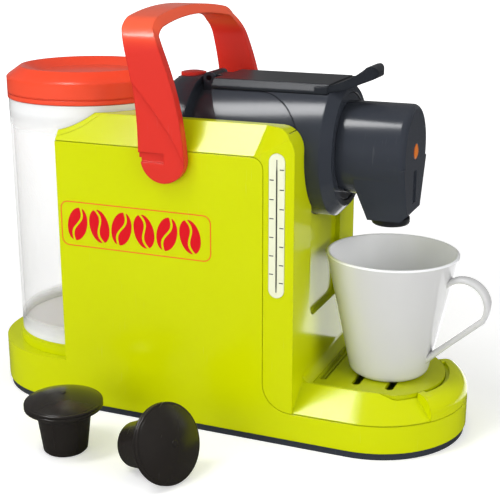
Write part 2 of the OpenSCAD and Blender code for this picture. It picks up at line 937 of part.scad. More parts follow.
module capsule_chamber() {
  chamber_wall = 1.6;
  x0 = slot_rear_x - 1;
  x1 = slot_front_x + 1;
  w = slot_half_y + 0.4;
  floor_z = head_z - 16;
  color([0.16, 0.17, 0.19]) difference() {
    union() {
      translate([x0 - chamber_wall, 0, 0]) along(0, x1 - x0 + 2 * chamber_wall) intersection() {
        union() {
          translate([-w - chamber_wall, head_z]) square([2 * (w + chamber_wall), 24]);
          translate([0, head_z]) circle(r = w + chamber_wall);
        }
        translate([-big / 2, floor_z]) square([big, head_z + 24 - floor_z]);
      }
      head_bar(x1, ring_x - ring_t - 0.7, 12);
    }
    translate([x0, 0, 0]) along(0, x1 - x0) intersection() {
      union() {
        translate([-w, head_z]) square([2 * w, big]);
        translate([0, head_z]) circle(r = w);
      }
      translate([-big / 2, floor_z + chamber_wall]) square([big, big]);
    }
    head_bar(x1 - 5, big, 9.5);
    translate([riser_x, 0, 0]) cylinder(h = head_z, r = tube_r + fit);
  }
}

// ---------- lever and button ----------

module lever_section(in = 0) {
  polygon([[-lever_half + in, head_z + 27], [lever_half - in, head_z + 27], [lever_half - in, lever_z - 3.4 - in / 2],
           [lever_half - 3 - in / 2, lever_z - in], [-lever_half + 3 + in / 2, lever_z - in],
           [-lever_half + in, lever_z - 3.4 - in / 2]]);
}

module lever() {
  tip_x = lever_front_x + tab_l;
  color(black) difference() {
    union() {
      difference() {
        along(lever_rear_x, lever_front_x) lever_section();
        along(lever_rear_x + 3, lever_front_x - 3) lever_section(lever_t);
      }
      // thumb tab that sweeps up ahead of the plate
      intersection() {
        across(2 * lever_half) tab_side();
        linear_extrude(big) {
          translate([lever_front_x - 8, -lever_half]) square([8, 2 * lever_half]);
          polygon([[lever_front_x - 1, -lever_half], [tip_x - 6, -tab_half], [tip_x - 6, tab_half],
                   [lever_front_x - 1, lever_half]]);
          for (s = [-1, 1]) translate([tip_x - 6, s * (tab_half - 6)]) circle(r = 6);
          translate([tip_x - 7, -tab_half + 6]) square([7, 2 * tab_half - 12]);
        }
      }
      translate([hinge_x, 0, hinge_z]) rotate([90, 0, 0]) cylinder(h = 2 * knuckle_half, r = knuckle_r, center = true);
      translate([hinge_x, -knuckle_half, hinge_z - 1.2]) cube([lever_rear_x - hinge_x + 2, 2 * knuckle_half, 2.8]);
    }
    intersection() {
      head_bar(barrel_rear_x - 20, head_front_x + 20, hood_r + lever_lift);
      translate([0, 0, flat_z + lever_lift - big / 2]) cube([big, big, big], center = true);
    }
    translate([hinge_x, 0, hinge_z]) rotate([90, 0, 0])
      cylinder(h = big, r = pin_r + 0.06, center = true);
  }
}

// Side view of the thumb tab: a plate end that curves upwards to a rolled edge
module tab_side() {
  r = 32.4;
  translate([lever_front_x, lever_z]) {
    difference() {
      polygon([[-7, -5.4], [1, -5.4], [tab_l - 2.2, 1.7], [tab_l - tab_roll, 8], [-7, 8]]);
      translate([-6.6, r - 1.4]) circle(r = r);
    }
    translate([tab_l - tab_roll, 4.9]) circle(r = tab_roll);
  }
}

module lever_plunger() {
  color([0.16, 0.17, 0.19]) translate([(slot_rear_x + slot_front_x) / 2, 0, 0]) {
    translate([0, 0, lever_z - lever_t - plunger_drop]) linear_extrude(plunger_drop - eps)
      round_rect(plunger_l, plunger_w, 4);
    translate([0, 0, lever_z - lever_t - 2 * plunger_drop]) linear_extrude(plunger_drop + 1)
      round_rect(plunger_l - 8, plunger_w - 8, 3);
  }
}

module lever_pin() {
  pin_half = knuckle_half + 0.3 + ear_t;
  color(steel) translate([hinge_x, 0, hinge_z]) rotate([90, 0, 0])
    cylinder(h = 2 * pin_half, r = pin_r, center = true);
}

module power_button() {
  top = head_z + cap_r + 1.6;
  base = head_z + 16 + button_travel + 0.3;
  dome = 26;
  color(red) intersection() {
    translate([button_x, 0, base]) cylinder(h = top - base, r = button_r);
    translate([button_x, 0, top - dome]) sphere(r = dome);
  }
}

module button_spring() {
  wire = 0.45;
  base = head_z + 13;
  h = 3 + button_travel + 0.3;
  color(steel) translate([button_x, 0, base + wire])
    linear_extrude(h - 2 * wire, twist = -360 * 4, slices = 80, $fn = 8)
      translate([button_r - 3.2, 0]) circle(r = wire);
}

// ---------- carry handle ----------

// Side view of the handle: a band that sweeps back and narrows upwards from its round end
module leg_side() {
  front = [leg_r - sqrt(pow(leg_front_r, 2) - pow(10.7, 2)), -10.7];
  rear = [-leg_r - leg_step - sqrt(pow(leg_rear_r, 2) - pow(7.2, 2)), 7.2];
  circle(r = leg_r);
  difference() {
    intersection() {
      translate(front) circle(r = leg_front_r);
      translate([-big / 2, 0]) square([big, handle_h - pivot_z + 4]);
    }
    translate(rear) circle(r = leg_rear_r);
  }
}

// Front view of the handle: an arch with round shoulders and a slightly crowned top
module arch_front(half, top, r, crown) {
  intersection() {
    union() {
      translate([-half, 0]) square([2 * half, top - r]);
      translate([-half + r, 0]) square([2 * (half - r), top + 1]);
      for (s = [-1, 1]) translate([s * (half - r), top - r]) circle(r = r);
    }
    translate([0, top - crown]) circle(r = crown);
  }
}

module carry_handle() {
  color(red) {
    difference() {
      intersection() {
        translate([pivot_x, 0, pivot_z]) across(2 * leg_out) leg_side();
        along(-big / 2, big / 2) difference() {
          arch_front(leg_out, handle_h, shoulder_r, crown_r);
          translate([0, -1]) arch_front(leg_in, handle_h - grip_t + 1, shoulder_r - leg_t, crown_r - grip_t);
        }
      }
      for (s = [-1, 1]) translate([pivot_x, s * leg_out, pivot_z]) {
        across(2 * inlay_d) leg_inlay();
        across(2 * (inlay_d + notch_d)) translate([-2 * leg_r, -2]) square([2 * leg_r + 0.8, 4.8]);
      }
    }
    for (s = [-1, 1]) translate([pivot_x, s * leg_in, pivot_z]) rotate([s * 90, 0, 0])
      translate([0, 0, -stud_root]) difference() {
        cylinder(h = stud_l, r = stud_r);
        translate([0, 0, stud_l - 6]) cylinder(h = 7, r = screw_r);
      }
  }
}

// Lower part of a leg's outside, set back behind a slanting crease
module leg_inlay() {
  polygon([[-40, 59.4], [-16.3, 38.6], [-11.2, 32.8], [-5.7, 26.4], [-0.3, 19.4], [5.1, 12.4], [10, 3.4],
           [14, -6], [14, -20], [-40, -20]]);
}

module pivot_screws() {
  color(steel) for (s = [-1, 1]) translate([pivot_x, s * stud_end, pivot_z]) rotate([-s * 90, 0, 0]) {
    translate([0, 0, -1.2]) cylinder(h = 1.2 - 0.02, r = stud_r + 2);
    translate([0, 0, -0.5]) cylinder(h = 5, r = screw_r);
  }
}

// ---------- water tank ----------

module tank_collar() {
  color(lime) translate([tank_x, 0, 0]) difference() {
    union() {
      translate([0, 0, base_h + eps]) cylinder(h = collar_h - base_h - 0.8, r = lid_r + 0.4);
      translate([0, 0, base_h + eps]) cylinder(h = collar_h - base_h - eps, r = lid_r - 0.4);
    }
    translate([0, 0, base_h - 1]) cylinder(h = collar_h - base_h - 2 - wall, r = tank_r - 3);
    translate([0, 0, collar_h - well_d]) cylinder(h = big, r = well_r);
    cylinder(h = big, r = tube_r + 0.1);
  }
}

module water_tank() {
  floor_t = 2;
  z0 = collar_h + 0.05;
  color([0.92, 0.95, 0.97, 0.4]) translate([tank_x, 0, 0]) difference() {
    translate([0, 0, z0]) cylinder(h = tank_h - z0, r1 = tank_r - tank_taper, r2 = tank_r);
    translate([0, 0, z0 + floor_t])
      cylinder(h = tank_h - z0, r1 = tank_r - tank_taper - tank_wall, r2 = tank_r - tank_wall);
    translate([0, 0, z0 - 1]) cylinder(h = 10, r = valve_r);
  }
}

module tank_valve() {
  z0 = collar_h - valve_drop;
  color(black) translate([tank_x, 0, 0]) {
    translate([0, 0, z0]) cylinder(h = valve_drop + 6, r = valve_r);
    translate([0, 0, collar_h + 2.05]) cylinder(h = 2, r = valve_r + 3);
    translate([0, 0, collar_h + 6]) cylinder(h = 2, r1 = valve_r, r2 = valve_r - 1.5);
  }
}

module tank_lid() {
  plug = 4.6;
  top_r = lid_r - 7.6;
  dish_r = lid_r - 18.5;
  rise = 4.6;
  color(red) translate([tank_x, 0, 0]) rotate_extrude() difference() {
    polygon([[0, lid_z - plug], [plug_r, lid_z - plug], [plug_r, lid_z], [lid_r, lid_z], [lid_r, lid_top - 1],
             [lid_r - 1, lid_top], [top_r, lid_top + rise], [top_r - 2, lid_top + rise],
             [dish_r, lid_top + 0.6], [0, lid_top + 0.6]]);
    translate([-1, lid_z - plug - 1])
      square([plug_r - wall + 1, plug + 1 + lid_band - wall]);
    translate([lid_r - 0.6, lid_z + 2.4]) square([1, 0.6]);
  }
}

module lid_seal() {
  color([0.85, 0.86, 0.86]) translate([tank_x, 0, lid_z - 2.4]) rotate_extrude()
    translate([plug_r + plug_gap / 2, 0]) circle(r = plug_gap / 2 - 0.04);
}

// ---------- pump, tubes and electronics ----------

module pump_motor() {
  color(steel) translate([pump_x + pump_w + 0.05, pump_y, pump_z]) rotate([0, 90, 0]) difference() {
    union() {
      cylinder(h = motor_l, r = motor_r);
      translate([0, 0, motor_l]) cylinder(h = 1.6, r = 3);
    }
    for (s = [-1, 1]) translate([0, s * (motor_r + 2.4), motor_l / 2])
      cube([2 * motor_r, 8, motor_l + 10], center = true);
    translate([0, 0, -1]) cylinder(h = 12, r = 1.1);
  }
}

module pump_body() {
  foot_z = plate_t + 0.05 - pump_z;
  leg = 3;
  color([0.2, 0.21, 0.23]) translate([pump_x, pump_y, pump_z]) difference() {
    union() {
      rotate([0, 90, 0]) cylinder(h = pump_w, r = pump_r);
      rotate([0, -90, 0]) cylinder(h = 8, r = 4);
      translate([pump_w / 2, 0, 0]) cylinder(h = pump_r + 7, r = 4);
      along(0, pump_w) difference() {
        polygon([[-pump_r - 2, foot_z], [pump_r + 2, foot_z], [pump_r - 1, -5], [-pump_r + 1, -5]]);
        polygon([[-pump_r - 2 + leg, foot_z - 1], [pump_r + 2 - leg, foot_z - 1], [pump_r - 1 - leg, -pump_r - leg],
                 [-pump_r + 1 + leg, -pump_r - leg]]);
      }
    }
    translate([2, 0, 0]) rotate([0, 90, 0]) cylinder(h = pump_w - 4, r = pump_r - 2.5);
    rotate([0, 90, 0]) cylinder(h = pump_w + 1, r = 1.1);
    translate([1, 0, 0]) rotate([0, -90, 0]) cylinder(h = 10, r = 2.65);
    translate([pump_w / 2, 0, 5]) cylinder(h = pump_r + 10, r = 2.65);
  }
}

module pump_impeller() {
  color([0.85, 0.85, 0.8]) translate([pump_x, pump_y, pump_z]) rotate([0, 90, 0]) {
    translate([0, 0, 2.6]) cylinder(h = pump_w - 5.2, r = 3);
    for (a = [0 : 60 : 359]) rotate(a) translate([0, -0.7, 2.6]) cube([pump_r - 3.3, 1.4, pump_w - 5.2]);
    translate([0, 0, 2.6]) cylinder(h = pump_w + 8, r = 1);
  }
}

module intake_tube() {
  inlet = [pump_x - 7.5, pump_y, pump_z];
  color([0.85, 0.88, 0.86, 0.6])
    hose([[tank_x, 0, collar_h - well_d - 0.4], [tank_x, 0, tube_z], [tank_x, tube_y, tube_z],
          [inlet[0] - 12, tube_y, tube_z], [inlet[0] - 12, tube_y, pump_z], [inlet[0] - 12, pump_y, pump_z],
          inlet + [5, 0, 0]], tube_r, tube_bore);
}

module delivery_tube() {
  x0 = pump_x + pump_w / 2;
  color([0.85, 0.88, 0.86, 0.6])
    hose([[x0, pump_y, pump_z + pump_r + 1], [x0, pump_y, riser_z], [x0, 0, riser_z], [riser_x, 0, riser_z],
          [riser_x, 0, head_z], [outlet_x, 0, head_z], [outlet_x, 0, snout_z + 6.5]], tube_r, tube_bore);
}

module circuit_board() {
  color([0.1, 0.4, 0.2]) translate([board_x, -board_y, board_z]) cube([board_w, board_t, board_h]);
  color(black) for (i = [0 : 2]) translate([board_x + 8, board_t - board_y - eps, board_z + 6 + 12 * i])
    cube([9, 3, 8]);
}

module speaker() {
  color([0.3, 0.3, 0.32]) translate([speaker_x, 0, plate_t + 0.05]) {
    cylinder(h = 2, r = 14);
    translate([0, 0, 1.9]) cylinder(h = 3, r1 = 12, r2 = 7);
    translate([0, 0, 4.8]) cylinder(h = 3, r = 7);
  }
}

// ---------- mug and capsules ----------

// A round loop of radius r about c that runs out to a point p
module teardrop(c, r, p) {
  d = norm(p - c);
  a = acos(r / d);
  dir = atan2(p[1] - c[1], p[0] - c[0]);
  translate(c) circle(r = r);
  polygon([p, c + r * [cos(dir + a), sin(dir + a)], c, c + r * [cos(dir - a), sin(dir - a)]]);
}

module mug_outside(in = 0) {
  slope = (mug_rim - mug_foot) / mug_h;
  intersection() {
    union() {
      translate([0, mug_round]) circle(r = 0.1);
      polygon([[0, 0], [mug_foot - mug_round, 0], [mug_foot - mug_round, mug_round],
               [mug_foot + slope * mug_round, mug_round], [mug_rim, mug_h], [0, mug_h]]);
      translate([mug_foot - mug_round + slope * mug_round, mug_round]) circle(r = mug_round);
    }
    square(big);
  }
}

module mug() {
  slope = (mug_rim - mug_foot) / mug_h;
  floor_t = 2.4;
  color([0.9, 0.9, 0.9]) translate([mug_x, 0, tray_h + 0.02]) {
    rotate_extrude() difference() {
      mug_outside();
      polygon([[-1, floor_t], [mug_foot - mug_wall - 2, floor_t], [mug_foot - mug_wall + slope * 5, floor_t + 4],
               [mug_rim - mug_wall, mug_h + eps], [mug_rim - mug_wall, mug_h + 1], [-1, mug_h + 1]]);
    }
    rotate([0, 0, grip_turn]) difference() {
      across(7) difference() {
        teardrop(mug_grip, mug_grip_r, [mug_foot, 6.5]);
        teardrop(mug_grip, mug_grip_r - mug_strap, [mug_foot + 3.6, 12]);
      }
      rotate_extrude() polygon([[0, -1], [mug_foot - 0.8, -1], [mug_rim - 0.8 + slope, mug_h + 1], [0, mug_h + 1]]);
    }
  }
}

// A capsule that stands on its foot: a cup, a broad flange of two rings and a domed top with a nub
module pod() {
  neck = pod_foot + 2.4;
  rim = pod_h + pod_flange_t;
  edge = pod_flange_t / 4;
  dome_r = pow(pod_r - edge, 2) / (2 * pod_dome) + pod_dome / 2;
  rotate_extrude() difference() {
    union() {
      polygon([[0, 0], [pod_foot - 1, 0], [pod_foot, 1], [neck, pod_h - 4], [neck + 2, pod_h - 1],
               [neck + 2, pod_h + 1], [0, pod_h + 1]]);
      translate([0, pod_h]) square([pod_r - edge, pod_flange_t]);
      for (z = [edge, 3 * edge]) translate([pod_r - edge, pod_h + z]) circle(r = edge);
      intersection() {
        translate([0, rim + pod_dome - dome_r]) circle(r = dome_r);
        translate([0, rim - 0.2]) square([pod_r - edge - 0.4, 10]);
      }
      translate([0, rim + pod_dome - 1]) square([1.7, 1.4]);
    }
    translate([-big, -1]) square([big, big]);
  }
}

module capsule_upright() {
  color([0.13, 0.1, 0.09]) translate([pod_place[0], pod_place[1], 0.02]) pod();
}

module capsule_lying() {
  contact = pod_h + pod_flange_t / 4;
  tip = atan2(contact, pod_r - pod_foot);
  color([0.1, 0.1, 0.11])
    translate([pod_lying_place[0], pod_lying_place[1], pod_foot * sin(tip) + 0.05])
      rotate([0, 0, pod_lying_turn]) rotate([0, tip, 0]) pod();
}

bottom_plate();
battery_door();
door_screw();
plate_screws();
battery_box();
batteries();
battery_contacts();
left_housing();
right_housing();
tank_guard();
top_deck();
side_screws();
front_frame();
drip_grille();
drip_cup();
water_gauge();
tank_collar();
head_barrel();
head_rear_cap();
head_hood();
front_ring();
spout_housing();
outlet_nozzle();
spout_lens();
capsule_chamber();
lever();
lever_plunger();
lever_pin();
power_button();
button_spring();
carry_handle();
pivot_screws();
water_tank();
tank_valve();
tank_lid();
lid_seal();
pump_motor();
pump_body();
pump_impeller();
intake_tube();
delivery_tube();
circuit_board();
speaker();
mug();
capsule_upright();
capsule_lying();
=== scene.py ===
import json
import math

import bmesh
import bpy
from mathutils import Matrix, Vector


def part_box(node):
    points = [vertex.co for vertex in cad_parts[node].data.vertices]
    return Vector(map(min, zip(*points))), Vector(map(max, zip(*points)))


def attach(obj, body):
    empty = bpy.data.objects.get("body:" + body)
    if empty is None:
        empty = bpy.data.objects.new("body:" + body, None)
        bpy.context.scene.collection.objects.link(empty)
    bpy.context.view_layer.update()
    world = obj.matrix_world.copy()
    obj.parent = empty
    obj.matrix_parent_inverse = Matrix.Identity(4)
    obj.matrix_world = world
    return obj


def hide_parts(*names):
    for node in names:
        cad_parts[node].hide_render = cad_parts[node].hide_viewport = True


# lengths are in metres and angles in degrees, where nothing else is said
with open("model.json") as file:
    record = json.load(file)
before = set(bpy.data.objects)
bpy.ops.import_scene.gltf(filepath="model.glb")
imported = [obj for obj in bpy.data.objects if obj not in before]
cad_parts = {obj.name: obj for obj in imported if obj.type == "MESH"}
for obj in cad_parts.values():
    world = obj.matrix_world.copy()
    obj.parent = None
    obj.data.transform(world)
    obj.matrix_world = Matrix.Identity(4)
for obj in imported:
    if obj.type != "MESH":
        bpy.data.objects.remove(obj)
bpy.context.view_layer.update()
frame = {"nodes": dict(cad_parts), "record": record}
scene = bpy.context.scene
scene.view_settings.view_transform = "Standard"


# short ways to place shader nodes

def feed(tree, node, sources):
    # sources by input name or number: a socket is linked, anything else becomes the input's own value
    for key, source in sources.items():
        if isinstance(source, bpy.types.NodeSocket):
            tree.links.new(source, node.inputs[key])
        else:
            node.inputs[key].default_value = source


def addNode(tree, kind, sources=None, **settings):
    node = tree.nodes.new(kind)
    for key, value in settings.items():
        setattr(node, key, value)
    feed(tree, node, sources or {})
    return node


def addPlace(tree):
    return addNode(tree, "ShaderNodeTexCoord").outputs["Object"]


def addUpward(tree, vector):
    return addNode(tree, "ShaderNodeSeparateXYZ", {0: vector}).outputs["Z"]


def addMath(tree, operation, *sources):
    return addNode(tree, "ShaderNodeMath", dict(enumerate(sources)), operation=operation).outputs[0]


def addNoise(tree, place, scale, detail):
    return addNode(tree, "ShaderNodeTexNoise", {"Vector": place, "Scale": scale, "Detail": detail}).outputs[0]


def addRange(tree, value, low=0.0, high=1.0, atLow=0.0, atHigh=1.0, curve="LINEAR"):
    # low to high in the value becomes atLow to atHigh
    sources = {"Value": value, "From Min": low, "From Max": high, "To Min": atLow, "To Max": atHigh}
    return addNode(tree, "ShaderNodeMapRange", sources, interpolation_type=curve).outputs[0]


def addBlend(tree, factor, first, second):
    # a Mix node set to colour has its two colours at inputs 6 and 7 and its result at output 2
    return addNode(tree, "ShaderNodeMix", {0: factor, 6: first, 7: second}, data_type="RGBA").outputs[2]


def addSeen(tree, path):
    # 1 where the camera looks straight on or through the clear tank
    return addMath(tree, "MAXIMUM", path.outputs["Is Camera Ray"], path.outputs["Is Transmission Ray"])


camera = {
    "place": (0.236187, -0.535190, 0.263759), "pitch": 16.726, "yaw": 22.462, "nearest": 0.01,
    "lens": 77.70, "sensor": 36,  # millimetres
}

# size is width and height; a lamp that doesn't light is only seen in mirrors
lamps = {
    "softbox": dict(place=(-0.385, -0.505, 1.17), aim=(0.02, -0.02, 0.15), size=(0.25, 0.60),
                    radiance=11.8, lights=True, mirrored=False),
    "softboxFace": dict(place=(-0.377, -0.495, 1.15), aim=(0.02, -0.02, 0.15), size=(0.25, 0.64),
                        radiance=19.0, lights=False, mirrored=True),
    "frontFill": dict(place=(-0.75, -1.75, 0.42), aim=(0.0, 0.0, 0.08), size=(1.40, 0.90),
                      radiance=3.3, lights=True, mirrored=False),
    "sideFill": dict(place=(1.35, -0.55, 0.55), aim=(0.05, 0.0, 0.10), size=(0.80, 0.80),
                     radiance=3.9, lights=True, mirrored=False),
    # stands in for the pale table that the column mirrors behind the mug
    "tableGleam": dict(place=(0.165, 0.168, 0.001), aim=(0.165, 0.168, 1.0), size=(0.25, 0.225),
                       radiance=1.9, lights=False, mirrored=True),
    # low card behind, seen in the flat tops of the lid and of the handle
    "backCard": dict(place=(-1.05, 1.50, 0.36), aim=(-0.05, 0.0, 0.20), size=(0.90, 0.36),
                     radiance=0.12, lights=False, mirrored=True),
}

# strengths of the white room, greys of the floor, and how the floor grows white from near to far
backdrop = {
    "seen": 1.0, "ambient": 0.42, "mirrored": 0.16, "floorGrey": 0.84, "floorMirror": 0.14,
    "nearLift": 0.42, "farLift": 1.0, "near": 0.30, "far": 1.3, "floorSize": 8.0,
}
white = (1, 1, 1, 1)


def makeCamera():
    data = bpy.data.cameras.new("camera")
    data.lens = camera["lens"]
    data.sensor_width = camera["sensor"]
    data.clip_start = camera["nearest"]
    eye = bpy.data.objects.new("camera", data)
    eye.location = camera["place"]
    eye.rotation_euler = (math.radians(90 - camera["pitch"]), 0, math.radians(camera["yaw"]))
    scene.collection.objects.link(eye)
    scene.camera = eye


def makeLamps():
    for name, spec in lamps.items():
        data = bpy.data.lights.new(name, "AREA")
        data.shape = "RECTANGLE"
        data.size, data.size_y = spec["size"]
        data.energy = spec["radiance"] * data.size * data.size_y * math.pi
        lamp = bpy.data.objects.new(name, data)
        lamp.location = spec["place"]
        aim = Vector(spec["aim"]) - Vector(spec["place"])
        lamp.rotation_euler = aim.to_track_quat("-Z", "Y").to_euler()
        lamp.visible_glossy = spec["mirrored"]
        lamp.visible_diffuse = spec["lights"]
        lamp.visible_camera = False
        scene.collection.objects.link(lamp)


def makeWorld():
    world = bpy.data.worlds.new("studio")
    world.use_nodes = True
    scene.world = world
    tree = world.node_tree
    tree.nodes.clear()
    path = addNode(tree, "ShaderNodeLightPath")
    ambient, mirrored = backdrop["ambient"], backdrop["mirrored"]
    unseen = addRange(tree, path.outputs["Is Glossy Ray"], atLow=ambient, atHigh=mirrored)
    strength = addRange(tree, addSeen(tree, path), atLow=unseen, atHigh=backdrop["seen"])
    background = addNode(tree, "ShaderNodeBackground", {"Color": white, "Strength": strength})
    addNode(tree, "ShaderNodeOutputWorld", {"Surface": background.outputs[0]})


def makeFloor():
    half = backdrop["floorSize"] / 2
    mesh = bpy.data.meshes.new("floor")
    corners = [(-half, -half, 0), (half, -half, 0), (half, half, 0), (-half, half, 0)]
    mesh.from_pydata(corners, [], [(0, 1, 2, 3)])
    floor = bpy.data.objects.new("floor", mesh)
    scene.collection.objects.link(floor)
    material = bpy.data.materials.new("paleFloor")
    material.use_nodes = True
    tree = material.node_tree
    path = addNode(tree, "ShaderNodeLightPath")
    # the part mirrors a darker floor than the one that is seen
    grey, dim = [(backdrop[key],) * 3 + (1,) for key in ("floorGrey", "floorMirror")]
    shade = addBlend(tree, path.outputs["Is Glossy Ray"], grey, dim)
    away = addNode(tree, "ShaderNodeVectorMath", {0: addPlace(tree)}, operation="LENGTH").outputs["Value"]
    lightShift = addRange(tree, away, *(backdrop[key] for key in ("near", "far", "nearLift", "farLift")))
    feed(tree, tree.nodes["Principled BSDF"], {
        "Base Color": shade, "Roughness": 1.0, "Specular IOR Level": 0.0, "Emission Color": white,
        "Emission Strength": addMath(tree, "MULTIPLY", addSeen(tree, path), lightShift)})
    mesh.materials.append(material)


# effects that the finishes share
colour, plain = "NodeSocketColor", "NodeSocketFloat"
unset = (0.8, 0.8, 0.8, 1)
skinNoise = {"driftScale": 22, "driftDetail": 3, "driftMiddle": 0.5, "grainScale": 900.0, "grainDetail": 2}
scuffNoise = {
    "turn": (0.5, 0.9, 0.3),  # radians
    "stretch": (900, 30, 70), "lineDetail": 2, "lineSpan": (0.66, 0.74),
    "patchScale": 35, "patchDetail": 2, "patchSpan": (0.50, 0.66), "dulling": 0.5,
}
dustNoise = {"scale": 260, "detail": 4, "leastUpward": 0.4}


def newGroup(name, inputs, outputs):
    tree = bpy.data.node_groups.new(name, "ShaderNodeTree")
    for label, (kind, value) in inputs.items():
        socket = tree.interface.new_socket(label, in_out="INPUT", socket_type=kind)
        socket.default_value = value
    for label, kind in outputs.items():
        tree.interface.new_socket(label, in_out="OUTPUT", socket_type=kind)
    return tree, tree.nodes.new("NodeGroupInput").outputs, tree.nodes.new("NodeGroupOutput")


def makeSkinGroup():
    # slow drift of tone and gloss over a moulding, with a fine grain as height
    tree, given, end = newGroup(
        "mouldedSkin",
        {"Color": (colour, unset), "Roughness": (plain, 0.3), "Tone Spread": (plain, 0.04),
         "Gloss Spread": (plain, 0.06), "Grain Scale": (plain, skinNoise["grainScale"])},
        {"Color": colour, "Roughness": plain, "Height": plain})
    place = addPlace(tree)
    noise = addNoise(tree, place, skinNoise["driftScale"], skinNoise["driftDetail"])
    drift = addMath(tree, "SUBTRACT", noise, skinNoise["driftMiddle"])
    tone = addMath(tree, "MULTIPLY_ADD", drift, given["Tone Spread"], 1.0)
    shade = addNode(tree, "ShaderNodeVectorMath", {0: given["Color"], "Scale": tone}, operation="SCALE")
    feed(tree, end, {
        "Color": shade.outputs[0],
        "Roughness": addMath(tree, "MULTIPLY_ADD", drift, given["Gloss Spread"], given["Roughness"]),
        "Height": addNoise(tree, place, given["Grain Scale"], skinNoise["grainDetail"])})
    return tree


def makeScuffGroup():
    # short fine scratches, in patches, that dull the gloss
    tree, given, end = newGroup(
        "handlingScuffs",
        {"Color": (colour, unset), "Roughness": (plain, 0.3), "Scuff Color": (colour, (0.9, 0.9, 0.9, 1)),
         "Amount": (plain, 0.2)},
        {"Color": colour, "Roughness": plain})
    place = addPlace(tree)
    stretched = addNode(tree, "ShaderNodeMapping", {
        "Vector": place, "Rotation": scuffNoise["turn"], "Scale": scuffNoise["stretch"]})
    lines = addNoise(tree, stretched.outputs[0], 1.0, scuffNoise["lineDetail"])
    patches = addNoise(tree, place, scuffNoise["patchScale"], scuffNoise["patchDetail"])
    mask = addMath(tree, "MULTIPLY", addRange(tree, lines, *scuffNoise["lineSpan"]),
                   addRange(tree, patches, *scuffNoise["patchSpan"]))
    amount = addMath(tree, "MULTIPLY", mask, given["Amount"])
    feed(tree, end, {
        "Color": addBlend(tree, amount, given["Color"], given["Scuff Color"]),
        "Roughness": addMath(tree, "MULTIPLY_ADD", amount, scuffNoise["dulling"], given["Roughness"])})
    return tree


def makeDustGroup():
    # pale dust that gathers on faces that look up
    tree, given, end = newGroup(
        "settledDust",
        {"Color": (colour, unset), "Dust Color": (colour, (0.7, 0.68, 0.64, 1)), "Amount": (plain, 0.05)},
        {"Color": colour})
    normal = addNode(tree, "ShaderNodeNewGeometry").outputs["Normal"]
    upward = addRange(tree, addUpward(tree, normal), low=dustNoise["leastUpward"])
    specks = addNoise(tree, addPlace(tree), dustNoise["scale"], dustNoise["detail"])
    amount = addMath(tree, "MULTIPLY", addMath(tree, "MULTIPLY", upward, specks), given["Amount"])
    feed(tree, end, {"Color": addBlend(tree, amount, given["Color"], given["Dust Color"])})
    return tree


def makeTopLightGroup():
    # painted light: the colour turns to a lighter one between two heights, for tops that the light falls on
    tree, given, end = newGroup(
        "paintedTopLight",
        {"Color": (colour, unset), "Top Light Color": (colour, (0.9, 0.9, 0.9, 1)), "Low": (plain, 0.0),
         "High": (plain, 1.0)},
        {"Color": colour})
    rise = addRange(tree, addUpward(tree, addPlace(tree)), given["Low"], given["High"], curve="SMOOTHSTEP")
    feed(tree, end, {"Color": addBlend(tree, rise, given["Color"], given["Top Light Color"])})
    return tree


skinGroup = makeSkinGroup()
scuffGroup = makeScuffGroup()
dustGroup = makeDustGroup()
topLightGroup = makeTopLightGroup()

